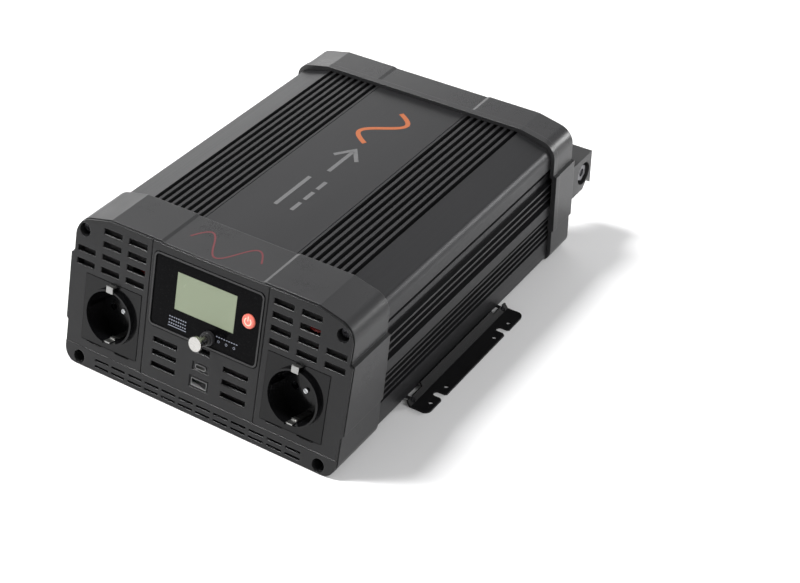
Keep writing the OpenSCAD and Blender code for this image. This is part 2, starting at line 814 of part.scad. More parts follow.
module usb_tongues() {
    color([0.9, 0.9, 0.88]) {
        on_panel(port_x, usb_c_v) panel_box(6.6, 0.8, -12.35, -4);
        on_panel(port_x, usb_a_v + 1.25) panel_box(11.4, 2.2, -14.45, -0.5);
    }
}

module remote_jack() {
    color([0.06, 0.06, 0.06]) on_panel(port_x, remote_v) difference() {
        union() {
            panel_box(14, 6.6, -15, -3.5);
            translate([0, 0, -0.6]) panel_box(14, 5.4, -3.5 - eps, -panel_t - 0.05);
        }
        panel_box(11.6, 3.4, -13, 0);
    }
}

// ---------- vent baffles ----------
// A sheet behind the vent slots. Its own slots sit between theirs, so air passes and wires can't be touched.
module vent_baffle(win_x, win_v) {
    intersection() {
        union() {
            on_panel(0, 0) difference() {
                translate([12, baffle_out * -1, 18.5]) cube([100, 0.8, 90.5]);
                translate([0, 0, 51.2]) cube([49.6, 20, 80]);
                translate([56.7, 0, 10]) cube([60, 20, 58.8]);
                for (x = slot_cols) for (row = [0:2])
                    translate([x - 6.5, 0, slot_top_v - (row + 0.5) * slot_pitch - 1.4]) cube([13, 20, 2.8]);
                for (row = [0:1])
                    translate([21, 0, 43.9 - (row + 0.5) * 9.45 - 1.4]) cube([18.8, 20, 2.8]);
                translate([win_x - 6, 0, win_v - 3.5]) cube([12, 20, 7]);
            }
            for (p = [[72.6, 103], [72.6, 80], [94.8, 80], [46, 40], [46, 23]])
                on_panel(p[0], p[1]) panel_rod(1.7, baffle_out - eps, -panel_t - 0.03, 24);
        }
        in_place() along_y(-5, 90) outline(envelope_half(-0.4));
    }
}

module vent_baffles() {
    color([0.2, 0.2, 0.21]) difference() {
        union() {
            vent_baffle(85.7, 95);
            mirror([1, 0, 0]) vent_baffle(62.5, 84.9);
        }
        in_place() both_sides() translate([port_hi[0], 0, port_hi[1]]) rod_y(6.6, 10, 60);
    }
}

// ---------- fans ----------
module fan_frame(x) {
    color([0.1, 0.1, 0.1]) in_place() {
        difference() {
            translate([x - fan_w / 2, fan_y0, fan_z - fan_w / 2]) cube([fan_w, fan_d - 0.1, fan_w]);
            translate([x, 0, fan_z]) rod_y(28.2, fan_y0 - 1, rear_y, 96);
            fan_hole_spots(x) rod_y(2.1, fan_y0 - 1, rear_y, 24);
        }
        translate([x, 0, fan_z]) {
            rod_y(12.5, fan_y0 + 0.6, fan_y0 + 3, 48);
            for (a = [45:90:315]) rotate([0, a, 0])
                translate([11, fan_y0 + 0.6, -1.5]) cube([18, 2.4, 3]);
            rod_y(1.45, fan_y0 + 2.9, fan_y0 + 20, 24);
        }
    }
}

module fan_rotor(x) {
    color([0.15, 0.15, 0.15]) in_place() translate([x, 0, fan_z]) difference() {
        union() {
            rod_y(13, fan_y0 + 3.6, fan_y0 + 22, 64);
            intersection() {
                for (a = [0:360 / 7:359]) rotate([0, a, 0])
                    translate([12, fan_y0 + 13, 0]) rotate([38, 0, 0]) translate([0, -11, -0.8]) cube([16, 22, 1.6]);
                rod_y(27.4, fan_y0 + 4.2, fan_y0 + 21.6, 64);
            }
        }
        rod_y(1.5, fan_y0, fan_y0 + 20.4, 24);
    }
}

module fan_frame_left() {
    fan_frame(-fan_x);
}

module fan_frame_right() {
    fan_frame(fan_x);
}

module fan_rotor_left() {
    fan_rotor(-fan_x);
}

module fan_rotor_right() {
    fan_rotor(fan_x);
}

module fan_screws() {
    color("black") in_place() for (x = [-fan_x, fan_x]) fan_hole_spots(x) {
        rod_y(1.9, rear_y - 18, rear_y + 0.1, 24);
        rod_y(3.4, rear_y + 0.05, rear_y + 2, 32);
    }
}

// ---------- DC terminals ----------
module terminal_block() {
    z0 = term_z - term_h / 2;
    difference() {
        translate([term_in, rear_y + 0.05, z0]) cube([term_out - term_in, back_y - rear_y - 0.05, term_h]);
        translate([0, term_bolt_y, term_z]) rod_x(9.3, 101, 130, 64);
        translate([99, rear_y + 5, term_z - 11.5]) cube([9, 40, 23]);
        translate([95.8, rear_y - 1, term_z - 10]) cube([3.4, 26, 20]);
        translate([0, term_bolt_y, term_z]) rod_x(7.6, 90.5, 96, 6);
        translate([term_in - 1, back_y - 6, z0 - 8]) rotate([45, 0, 0]) cube([40, 10, 10]);
    }
}

module terminal_negative() {
    color([0.1, 0.1, 0.1]) in_place() terminal_block();
}

module terminal_positive() {
    color([0.6, 0.08, 0.06]) in_place() mirror([1, 0, 0]) terminal_block();
}

module busbar() {
    difference() {
        union() {
            translate([96, 261, term_z - 9.8]) cube([3, back_y - 5.8 - 261, 19.6]);
            translate([96, 261, board_z + board_t + 0.05]) cube([3, 17, 40]);
            translate([90, 261, board_z + board_t + 0.05]) cube([6.5, 17, 2]);
        }
        translate([0, term_bolt_y, term_z]) rod_x(4.05, 90, 104);
    }
}

module busbars() {
    color([0.8, 0.5, 0.3]) in_place() both_sides() busbar();
}

module terminal_bolts() {
    color("silver") in_place() both_sides() translate([0, term_bolt_y, term_z]) {
        rod_x(4, 90.8, 112.3);
        difference() {
            rod_x(7.2, 112.2, 117.6, 6);
            rod_x(3.2, 116.2, 120, 24);
        }
    }
}

module terminal_washers() {
    color("silver") in_place() both_sides() translate([0, term_bolt_y, term_z]) {
        for (w = [[110.4, 112.15, 6.6], [108.7, 110.35, 8.4]]) difference() {
            rod_x(w[2], w[0], w[1], 48);
            rod_x(4.1, 100, 120, 40);
        }
    }
}

module terminal_nuts() {
    color("silver") in_place() both_sides() translate([0, term_bolt_y, term_z]) difference() {
        rod_x(7.3, 90.8, 95.9, 6);
        rod_x(4.03, 90, 97, 40);
    }
}

module earth_screw() {
    color("silver") in_place() translate([0, 0, 14]) {
        rod_y(2.4, rear_y - 12, rear_y + 9, 32);
        rod_y(5, rear_y + 0.05, rear_y + 1, 40);
        rod_y(4.6, rear_y + 1, rear_y + 4.6, 6);
    }
}

// ---------- inside ----------
module standoff_spots() {
    for (x = [-86, 0, 86]) for (y = [76, 270]) translate([x, y, 0]) children();
}

module main_board() {
    color([0.05, 0.3, 0.15]) in_place() difference() {
        translate([-98, 64, board_z]) cube([196, 216, board_t]);
        standoff_spots() translate([0, 0, board_z - 1]) cylinder(h = 4, r = 1.6, $fn = 24);
    }
}

module board_standoffs() {
    color("gold") in_place() standoff_spots() translate([0, 0, plate_z + plate_t + 0.02]) difference() {
        cylinder(h = board_z - plate_z - plate_t - 0.04, r = 3.2, $fn = 6);
        translate([0, 0, -1]) cylinder(h = 20, r = 1.6, $fn = 24);
    }
}

module board_screws() {
    color("silver") in_place() standoff_spots() {
        translate([0, 0, board_z - 5]) cylinder(h = 5 + board_t, r = 1.5, $fn = 24);
        translate([0, 0, board_z + board_t]) cylinder(h = 2, r = 2.8, $fn = 32);
    }
}

module heatsinks() {
    color("silver") in_place() both_sides() along_y(92, 258) union() {
        translate([86, board_z + board_t + 0.05]) square([3, 54]);
        for (z = [0:8]) translate([89 - eps, board_z + 3 + z * 6]) square([13, 1.6]);
    }
}

module transistor_spots() {
    for (y = [104:18:248]) translate([0, y, 0]) children();
}

module power_transistors() {
    color([0.12, 0.12, 0.12]) in_place() both_sides() transistor_spots() {
        translate([81.3, -5, 22]) cube([4.65, 10, 15]);
        for (dy = [-2.5, 0, 2.5])
            translate([82.6, dy - 0.4, board_z + board_t + 0.05]) cube([0.6, 0.8, 9]);
    }
}

module clamp_bars() {
    color("silver") in_place() both_sides() translate([79.2, 96, 26]) cube([2, 158, 7]);
}

module transformer_spots() {
    for (x = [-55, -18.5, 18.5, 55]) translate([x, 236, board_z + board_t + 0.05]) children();
}

module transformer_cores() {
    color([0.2, 0.2, 0.22]) in_place() transformer_spots() difference() {
        translate([-15, -21, 0]) cube([30, 42, 42]);
        translate([-16, -15, 6]) cube([32, 9, 30]);
        translate([-16, 6, 6]) cube([32, 9, 30]);
    }
}

module transformer_windings() {
    color([0.85, 0.7, 0.2]) in_place() transformer_spots() difference() {
        translate([-17.5, -14.7, 6.3]) cube([35, 29.4, 29.4]);
        translate([-15.2, -6.3, 5]) cube([30.4, 12.6, 32]);
    }
}

module choke_place() {
    translate([-40, 108, board_z + board_t + 8.2]) children();
}

module choke_core() {
    color([0.75, 0.7, 0.3]) in_place() choke_place() difference() {
        translate([0, 0, -6]) cylinder(h = 12, r = 21, $fn = 64);
        translate([0, 0, -7]) cylinder(h = 14, r = 12, $fn = 64);
    }
}

module choke_winding() {
    color([0.75, 0.4, 0.2]) in_place() choke_place() for (a = [0:15:330]) rotate([0, 0, a])
        translate([16.5, 0, 0]) difference() {
            cube([12.6, 1.9, 15.6], center = true);
            cube([9.1, 3, 12.1], center = true);
        }
}

module bulk_capacitors() {
    color([0.1, 0.12, 0.3]) in_place() translate([0, 0, board_z + board_t + 0.05]) {
        for (x = [2, 24, 46]) for (y = [98, 120]) translate([x, y, 0]) cylinder(h = 38, r = 9, $fn = 40);
        for (x = [-60:15:60]) translate([x, 190, 0]) cylinder(h = 26, r = 6.3, $fn = 32);
    }
}

module fuse_spots() {
    for (x = [-52, -34, -16, 16, 34, 52]) translate([x, 269, board_z + board_t + 0.05]) children();
}

module fuse_holders() {
    color([0.1, 0.1, 0.1]) in_place() fuse_spots() difference() {
        translate([-5, -4, 0]) cube([10, 8, 6]);
        translate([-3.6, -1.3, 1]) cube([7.2, 2.6, 8]);
    }
}

module blade_fuses() {
    color([0.8, 0.2, 0.15]) in_place() fuse_spots() {
        translate([-3.5, -1.2, 1.1]) cube([7, 2.4, 6]);
        translate([-4.4, -1.8, 6.05]) cube([8.8, 3.6, 5]);
    }
}

module control_board() {
    color([0.05, 0.25, 0.35]) in_place() {
        translate([-35, 150, board_z + board_t + 0.05]) cube([70, 1.6, 40]);
        for (x = [-24, -4, 16]) translate([x, 151.55, board_z + 14]) cube([12, 2, 12]);
    }
}

// A point t of the way along a smooth curve through p[i] and p[i + 1].
function between(p, i, t) = let(
    a = p[max(i - 1, 0)],
    b = p[i],
    c = p[i + 1],
    d = p[min(i + 2, len(p) - 1)]
) 0.5 * ((2 * b) + (c - a) * t + (2 * a - 5 * b + 4 * c - d) * t * t + (3 * b - a - 3 * c + d) * t * t * t);
function smooth(p, n) = concat(
    [for (i = [0:len(p) - 2]) for (k = [0:n - 1]) between(p, i, k / n)],
    [p[len(p) - 1]]
);
function unit(v) = v / norm(v);
function heading(q, i) = unit(q[min(i + 1, len(q) - 1)] - q[max(i - 1, 0)]);
function across(d, u) = unit(u - d * (d * u));
// Each ring's sideways direction is the last ring's, squared up to the new heading.
function frames(q, i, u) = let(v = across(heading(q, i), u))
    i == len(q) - 1 ? [v] : concat([v], frames(q, i + 1, v));

// A round wire along a smooth curve through the points.
module lead(points, r, m = 8) {
    q = smooth(points, 5);
    f = frames(q, 0, unit([1, 0.13, 0.07]));
    rings = [for (i = [0:len(q) - 1]) for (k = [0:m - 1]) let(a = 360 * k / m)
        q[i] + r * (f[i] * cos(a) + cross(heading(q, i), f[i]) * sin(a))];
    last = (len(q) - 1) * m;
    polyhedron(rings, concat(
        [for (i = [0:len(q) - 2]) for (k = [0:m - 1])
            [i * m + k, i * m + (k + 1) % m, (i + 1) * m + (k + 1) % m, (i + 1) * m + k]],
        [[for (k = [m - 1:-1:0]) k], [for (k = [0:m - 1]) last + k]]
    ));
}

module live_leads() {
    color([0.7, 0.1, 0.1]) in_place() {
        lead([[62, 70, 15.3], [62, 70, 30], [61, 62, 52], [57, 53, 72], [61, 44, 83], [72, 36.5, 87.2],
              [84, 34.2, 88], [89, 38, 86], [83, 45.5, 82], [73.5, 49.6, 76], [71.5, 49.6, 58]], 1.5);
        lead([[-62, 70, 15.3], [-62, 70, 30], [-61, 62, 50], [-57.5, 53, 65], [-57, 43, 73.5],
              [-62, 34.4, 75.8], [-68, 37, 74.8], [-72, 45, 70], [-71.5, 49.6, 58]], 1.5);
    }
}

module neutral_leads() {
    color([0.05, 0.05, 0.05]) in_place() for (side = [-1, 1])
        lead([[side * 80, 72, 15.3], [side * 80, 71, 32], [side * 84, 62, 54], [side * 92, 52, 72],
              [side * 94, 49, 80], [side * 91, 49, 83], [side * 88.7, 49.4, 74], [side * 88.7, 49.6, 58]], 1.5);
}

housing();
base_plate();
base_screws();
front_panel();
front_cap();
rear_cap();
front_screws();
rear_screws();
bracket_left();
bracket_right();
bracket_screws();
display_bezel();
display_lens();
lcd_glass();
lcd_holder();
display_board();
display_screws();
power_button();
button_switch();
earth_knob();
earth_post();
earth_collar();
socket_left();
socket_right();
earth_clips();
socket_screws();
socket_contacts();
usb_module();
usb_shells();
usb_tongues();
remote_jack();
vent_baffles();
fan_frame_left();
fan_frame_right();
fan_rotor_left();
fan_rotor_right();
fan_screws();
terminal_positive();
terminal_negative();
busbars();
terminal_bolts();
terminal_washers();
terminal_nuts();
earth_screw();
main_board();
board_standoffs();
board_screws();
heatsinks();
power_transistors();
clamp_bars();
transformer_cores();
transformer_windings();
choke_core();
choke_winding();
bulk_capacitors();
fuse_holders();
blade_fuses();
control_board();
live_leads();
neutral_leads();
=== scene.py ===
"""Looks for the power inverter: materials, small printed marks, studio and camera."""
import bmesh
import bpy
import math
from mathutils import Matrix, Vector


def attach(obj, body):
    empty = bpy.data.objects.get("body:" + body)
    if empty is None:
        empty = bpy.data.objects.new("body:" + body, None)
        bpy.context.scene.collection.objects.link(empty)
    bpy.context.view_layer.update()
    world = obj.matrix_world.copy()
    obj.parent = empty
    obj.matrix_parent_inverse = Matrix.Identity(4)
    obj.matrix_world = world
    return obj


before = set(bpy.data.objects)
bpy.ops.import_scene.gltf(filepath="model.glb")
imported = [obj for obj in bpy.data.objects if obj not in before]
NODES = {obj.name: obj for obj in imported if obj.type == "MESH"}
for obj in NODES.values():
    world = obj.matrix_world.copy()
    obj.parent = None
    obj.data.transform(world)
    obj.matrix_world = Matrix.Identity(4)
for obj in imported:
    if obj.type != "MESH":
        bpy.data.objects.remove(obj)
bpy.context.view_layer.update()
MM = 0.001

# ---------------------------------------------------------------- the front panel's own frame
TILT = math.radians(16.0)
FRONT_Y = -174.0      # where the sloping plane of the front meets the ground
STEP = 0.8            # the panel lies this far in front of that plane


def on_panel(x, v, out):
    """x across, v up the slope, out in front of the panel, all in mm, to the row frame in metres."""
    y = -STEP - out
    back = FRONT_Y + y * math.cos(TILT) + v * math.sin(TILT)
    up = v * math.cos(TILT) - y * math.sin(TILT)
    return Vector((x, back, up)) * MM


def on_top(z):
    """A placer for marks on a level surface: u along X, v along Y from the front edge, h above z."""
    return lambda u, v, h: Vector((u, FRONT_Y + v, z + h)) * MM


def panel_at(out):
    """A placer for marks on the front panel, at a distance in front of its face."""
    return lambda u, v, h: on_panel(u, v, out + h)


# ---------------------------------------------------------------- camera and light
LIGHTS_AIM = Vector((0, 0, 0.05))     # the middle of the part, in metres


def camera():
    az, el, dist = math.radians(33.103), math.radians(36.762), 1.1506
    target = Vector((0.07769, -0.03307, 0.050))
    back = Vector((math.sin(az) * math.cos(el), -math.cos(az) * math.cos(el), math.sin(el)))
    cam = bpy.data.cameras.new("camera")
    cam.lens = 73.14
    cam.sensor_width = 36.0
    cam.clip_start = 0.01
    cam.clip_end = 50.0
    obj = bpy.data.objects.new("camera", cam)
    obj.location = target + back * dist
    obj.rotation_euler = back.to_track_quat("Z", "Y").to_euler()
    bpy.context.scene.collection.objects.link(obj)
    bpy.context.scene.camera = obj


def softbox(name, loc, width, height, power):
    """A rectangular area light aimed at the part: metres and watts."""
    light = bpy.data.lights.new(name, "AREA")
    light.shape = "RECTANGLE"
    light.size = width
    light.size_y = height
    light.energy = power
    obj = bpy.data.objects.new(name, light)
    obj.location = loc
    obj.rotation_euler = (Vector(loc) - LIGHTS_AIM).to_track_quat("Z", "Y").to_euler()
    bpy.context.scene.collection.objects.link(obj)


camera()
softbox("overhead", (-0.92, -0.25, 1.75), 0.34, 0.62, 50)
softbox("right_top", (1.35, -0.15, 1.45), 0.8, 0.9, 10)
softbox("back", (-0.08, 1.3, 1.36), 0.45, 0.22, 0.8)
softbox("left_back", (-1.5, 1.5, 0.75), 1.3, 0.6, 5)
softbox("right_back", (1.25, 1.5, 0.62), 0.3, 0.6, 12)


def studio():
    """A white sweep: bright low down, darker overhead."""
    world = bpy.data.worlds.new("studio")
    bpy.context.scene.world = world
    world.use_nodes = True
    tree = world.node_tree
    back = tree.nodes["Background"]
    where = tree.nodes.new("ShaderNodeTexCoord")
    split = tree.nodes.new("ShaderNodeSeparateXYZ")
    tree.links.new(where.outputs["Generated"], split.inputs[0])
    ramp = tree.nodes.new("ShaderNodeValToRGB")
    stops = ((0.0, 0.95), (0.30, 0.85), (0.55, 0.42), (0.72, 0.22), (1.0, 0.2))
    while len(ramp.color_ramp.elements) < len(stops):
        ramp.color_ramp.elements.new(0.5)
    for element, (place, value) in zip(ramp.color_ramp.elements, stops):
        element.position = place
        element.color = (value, value, value, 1)
    tree.links.new(split.outputs["Z"], ramp.inputs["Fac"])
    tree.links.new(ramp.outputs["Color"], back.inputs["Color"])
    back.inputs["Strength"].default_value = 1.0


studio()
bpy.context.scene.view_settings.view_transform = "Standard"


# ---------------------------------------------------------------- materials
class Mat:
    """A Principled material with small helpers; positions are in metres in the object's own frame."""

    def __init__(self, name, color, rough, metallic=0.0, **sockets):
        self.m = bpy.data.materials.new(name)
        self.m.use_nodes = True
        self.t = self.m.node_tree
        self.p = self.t.nodes["Principled BSDF"]
        self.p.inputs["Base Color"].default_value = (*color, 1)
        self.p.inputs["Roughness"].default_value = rough
        self.p.inputs["Metallic"].default_value = metallic
        for key, value in sockets.items():
            self.p.inputs[key.replace("_", " ")].default_value = value
        self.color = color
        self.co = self.t.nodes.new("ShaderNodeTexCoord").outputs["Object"]
        self.height = None

    def node(self, kind, **settings):
        n = self.t.nodes.new(kind)
        for key, value in settings.items():
            setattr(n, key, value)
        return n

    def link(self, a, b):
        self.t.links.new(a, b)

    def noise(self, scale, detail=3.0, rough=0.55, stretch=(1, 1, 1)):
        """Noise of about 0.3 to 0.7; a small stretch draws it out along that axis."""
        mapping = self.node("ShaderNodeMapping")
        mapping.inputs["Scale"].default_value = stretch
        self.link(self.co, mapping.inputs["Vector"])
        n = self.node("ShaderNodeTexNoise")
        n.inputs["Scale"].default_value = scale
        n.inputs["Detail"].default_value = detail
        n.inputs["Roughness"].default_value = rough
        self.link(mapping.outputs["Vector"], n.inputs["Vector"])
        return n.outputs["Fac"]

    def ranged(self, value, lo, hi, from_lo=0.3, from_hi=0.7):
        """Maps a value to lo..hi, without leaving that range."""
        n = self.node("ShaderNodeMapRange")
        n.inputs["From Min"].default_value = from_lo
        n.inputs["From Max"].default_value = from_hi
        n.inputs["To Min"].default_value = lo
        n.inputs["To Max"].default_value = hi
        self.link(value, n.inputs["Value"])
        return n.outputs["Result"]

    def math(self, op, a, b):
        n = self.node("ShaderNodeMath", operation=op)
        for socket, value in zip(n.inputs, (a, b)):
            if isinstance(value, (int, float)):
                socket.default_value = value
            else:
                self.link(value, socket)
        return n.outputs[0]

    def mix(self, factor, a, b):
        n = self.node("ShaderNodeMix", data_type="RGBA")
        self.link(factor, n.inputs[0])
        for socket, value in ((n.inputs[6], a), (n.inputs[7], b)):
            if isinstance(value, tuple):
                socket.default_value = (*value, 1)
            else:
                self.link(value, socket)
        return n.outputs[2]

    def tint(self, factor, other):
        """Mixes another colour over what the base colour is so far."""
        socket = self.p.inputs["Base Color"]
        now = socket.links[0].from_socket if socket.is_linked else self.color
        self.link(self.mix(factor, now, other), socket)

    def roughness(self, value, lo, hi):
        """Varies the roughness between two levels as a noise varies."""
        self.link(self.ranged(value, lo, hi), self.p.inputs["Roughness"])

    def bump(self, value, strength, distance):
        """Adds relief on top of the relief so far."""
        n = self.node("ShaderNodeBump")
        n.inputs["Strength"].default_value = strength
        n.inputs["Distance"].default_value = distance
        self.link(value, n.inputs["Height"])
        if self.height is not None:
            self.link(self.height, n.inputs["Normal"])
        self.height = n.outputs["Normal"]
        self.link(self.height, self.p.inputs["Normal"])

    def soften(self, radius):
        """Rounds every edge by the radius, in the shading only."""
        n = self.node("ShaderNodeBevel", samples=6)
        n.inputs["Radius"].default_value = radius
        self.height = n.outputs["Normal"]
        self.link(self.height, self.p.inputs["Normal"])

    def edges(self, radius):
        """0 on flats, rising to 1 on edges and in corners."""
        flat, sharp = 0.002, 0.08
        bevel = self.node("ShaderNodeBevel", samples=4)
        bevel.inputs["Radius"].default_value = radius
        geometry = self.node("ShaderNodeNewGeometry")
        dot = self.node("ShaderNodeVectorMath", operation="DOT_PRODUCT")
        self.link(bevel.outputs["Normal"], dot.inputs[0])
        self.link(geometry.outputs["Normal"], dot.inputs[1])
        return self.ranged(self.math("SUBTRACT", 1.0, dot.outputs["Value"]), 0, 1, flat, sharp)


def plastic(name, color, rough=0.45, grain=0.35, light=1.5, scale=2200, shine=0.5, soft=0.0):
    """Moulded plastic: fine grain, broad patches, edges painted paler as partly wear and partly a painted
    edge highlight; soft is the radius of shaded edges.
    """
    m = Mat(name, color, rough, Specular_IOR_Level=shine)
    if soft:
        m.soften(soft)
    fine = m.noise(scale, 2.0)
    broad = m.noise(26, 3.0)
    m.tint(m.ranged(fine, 0.0, 0.35), tuple(min(1, c * light) for c in color))
    m.tint(m.ranged(broad, 0.0, 0.22), tuple(c * 0.7 for c in color))
    # Paler edges and corners: partly wear, partly a painted edge highlight.
    m.tint(m.math("MULTIPLY", m.edges(0.0004), 0.3), tuple(min(1, c * 2.2 + 0.01) for c in color))
    patches = m.math("ADD", m.math("MULTIPLY", broad, 0.6), m.math("MULTIPLY", fine, 0.4))
    m.roughness(patches, rough - 0.06, rough + 0.08)
    m.bump(fine, grain, 0.00004)
    return m.m


def gloss(name, color, rough=0.12, wave=0.06, shine=0.5):
    """Polished plastic with a trace of dust and a slight waviness."""
    m = Mat(name, color, rough, Specular_IOR_Level=shine)
    dust = m.noise(900, 4.0, 0.7)
    broad = m.noise(45, 2.0)
    m.tint(m.ranged(dust, 0.0, 0.05, 0.55, 0.8), (0.25, 0.25, 0.25))
    m.roughness(broad, rough - 0.04, rough + 0.07)
    m.bump(m.noise(180, 2.0), wave, 0.00003)
    return m.m


def metal(name, color, rough=0.28, stretch=(1, 1, 1), wear=0.25, metallic=1.0):
    """Bare or plated metal: die lines or a fine mottle, edges painted paler as partly wear and partly a
    painted edge highlight.
    """
    m = Mat(name, color, rough, metallic)
    lines = m.noise(700, 4.0, 0.65, stretch)
    broad = m.noise(60, 3.0)
    m.tint(m.ranged(broad, 0.0, wear), tuple(c * 0.72 for c in color))
    # Paler edges and corners: partly wear, partly a painted edge highlight.
    m.tint(m.math("MULTIPLY", m.edges(0.0003), 0.35), tuple(min(1, c * 1.35 + 0.03) for c in color))
    m.roughness(lines, rough - 0.07, rough + 0.1)
    m.bump(lines, 0.12, 0.00003)
    return m.m


def coated(name, color, rough=0.36):
    """Powder coat: orange peel over steel."""
    m = Mat(name, color, rough, Specular_IOR_Level=0.12)
    peel = m.noise(520, 2.0, 0.5)
    m.tint(m.ranged(m.noise(40, 3.0), 0.0, 0.3), tuple(c * 0.6 for c in color))
    # Paler edges and corners: partly wear, partly a painted edge highlight.
    m.tint(m.math("MULTIPLY", m.edges(0.0003), 0.25), tuple(c * 2.4 + 0.015 for c in color))
    m.roughness(m.noise(120, 3.0), rough - 0.07, rough + 0.09)
    m.bump(peel, 0.4, 0.00008)
    return m.m


def anodised(name, color, rough=0.4):
    """Extruded and anodised: die lines along Y, a fine satin etch, edges painted paler as partly wear and
    partly a painted edge highlight.
    """
    m = Mat(name, color, rough, 0.55)
    die = m.noise(650, 4.0, 0.6, (1, 0.012, 1))
    etch = m.noise(2600, 2.0)
    broad = m.noise(14, 3.0, 0.5, (1, 0.4, 1))
    m.tint(m.ranged(die, 0.0, 0.28), tuple(c * 1.5 for c in color))
    m.tint(m.ranged(broad, 0.0, 0.2), tuple(c * 0.72 for c in color))
    # Paler edges and corners: partly wear, partly a painted edge highlight.
    m.tint(m.math("MULTIPLY", m.edges(0.0004), 0.35), tuple(min(1, c * 2.4) for c in color))
    satin = m.math("ADD", m.math("MULTIPLY", die, 0.5), m.math("MULTIPLY", etch, 0.5))
    m.roughness(satin, rough - 0.07, rough + 0.07)
    m.bump(die, 0.10, 0.00003)
    m.bump(etch, 0.16, 0.00002)
    return m.m


def circuit(name):
    """Green solder mask with tracks and pads."""
    m = Mat(name, (0.012, 0.11, 0.045), 0.32)
    cells = m.node("ShaderNodeTexVoronoi", feature="F1", distance="MANHATTAN")
    cells.inputs["Scale"].default_value = 160
    m.link(m.co, cells.inputs["Vector"])
    tracks = m.node("ShaderNodeTexVoronoi", feature="DISTANCE_TO_EDGE")
    tracks.inputs["Scale"].default_value = 90
    m.link(m.co, tracks.inputs["Vector"])
    m.tint(m.ranged(tracks.outputs["Distance"], 0.8, 0.0, 0.02, 0.08), (0.03, 0.24, 0.09))
    m.tint(m.ranged(cells.outputs["Distance"], 0.9, 0.0, 0.10, 0.16), (0.55, 0.5, 0.4))
    m.roughness(m.noise(300), 0.26, 0.42)
    m.bump(tracks.outputs["Distance"], 0.1, 0.00004)
    return m.m


def lcd(name):
    """Pale reflective glass over a faint grid of cells."""
    m = Mat(name, (0.255, 0.295, 0.205), 0.3, Specular_IOR_Level=0.2)
    grid = m.node("ShaderNodeTexChecker")
    grid.inputs["Scale"].default_value = 2400
    m.link(m.co, grid.inputs["Vector"])
    m.tint(m.math("MULTIPLY", grid.outputs["Fac"], 0.05), (0.20, 0.23, 0.16))
    m.tint(m.ranged(m.noise(24, 2.0), 0.0, 0.25), (0.285, 0.31, 0.225))
    m.roughness(m.noise(70), 0.18, 0.28)
    return m.m


def lit_plastic(name, color, glow):
    """Translucent plastic with a faint light in it."""
    m = Mat(name, color, 0.32, Subsurface_Weight=0.35, Subsurface_Scale=0.003, Coat_Weight=0.2)
    m.p.inputs["Emission Color"].default_value = (*glow, 1)
    m.p.inputs["Emission Strength"].default_value = 0.12
    m.tint(m.ranged(m.noise(140, 2.0), 0.0, 0.3), tuple(min(1, c * 1.25) for c in color))
    m.roughness(m.noise(220), 0.26, 0.4)
    m.bump(m.noise(1500, 2.0), 0.12, 0.00003)
    return m.m


def wound(name, color, pitch):
    """Enamelled wire or tape laid side by side along Z, with a pitch in metres."""
    m = Mat(name, color, 0.35, 0.35)
    wave = m.node("ShaderNodeTexWave", bands_direction="Z")
    wave.inputs["Scale"].default_value = 1.0 / pitch / 3.1416
    wave.inputs["Distortion"].default_value = 0.6
    m.link(m.co, wave.inputs["Vector"])
    m.tint(m.math("MULTIPLY", wave.outputs["Fac"], 0.5), tuple(c * 0.4 for c in color))
    m.roughness(m.noise(200), 0.28, 0.45)
    m.bump(wave.outputs["Fac"], 0.5, 0.0002)
    return m.m


def ink(name, color):
    """Matt printing ink, slightly uneven."""
    m = Mat(name, color, 0.5)
    m.tint(m.ranged(m.noise(1400, 3.0, 0.7), 0.0, 0.35, 0.45, 0.75), tuple(c * 0.7 for c in color))
    m.roughness(m.noise(500), 0.44, 0.58)
    m.bump(m.noise(2500, 2.0), 0.1, 0.00001)
    return m.m


